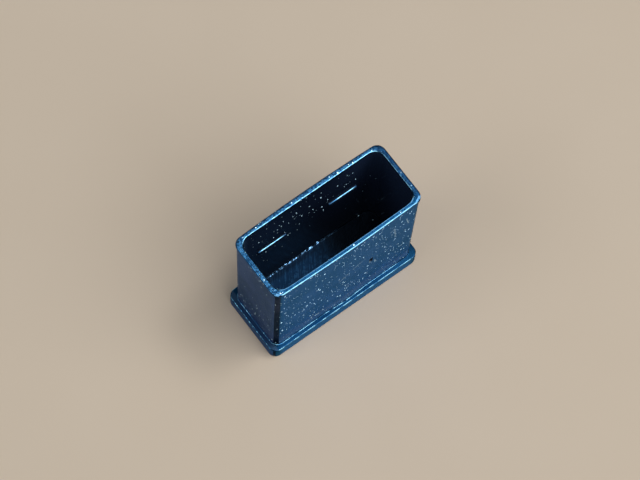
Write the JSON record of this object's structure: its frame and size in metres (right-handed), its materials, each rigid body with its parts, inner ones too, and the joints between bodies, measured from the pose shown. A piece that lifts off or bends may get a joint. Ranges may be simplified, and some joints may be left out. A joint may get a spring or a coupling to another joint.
{
  "type": "usb plug cap",
  "caption": "Slim rectangular push-on cap for a USB type A plug: thin-walled glossy moulding, open at the mouth, closed at a flanged foot, with grip ridges inside.",
  "frame": {"origin": "middle of the flat underside that the cap stands on", "axes": "+Z out of the mouth, +X along the long side of the mouth, +Y across the short side"},
  "size_m": [0.0134, 0.0058, 0.0128],
  "materials": {
    "cap_plastic": "glossy dark navy moulding, dusty and lightly scuffed"
  },
  "bodies": {
    "root": {"plug_cap": "cap_plastic"}
  },
  "joints": []
}
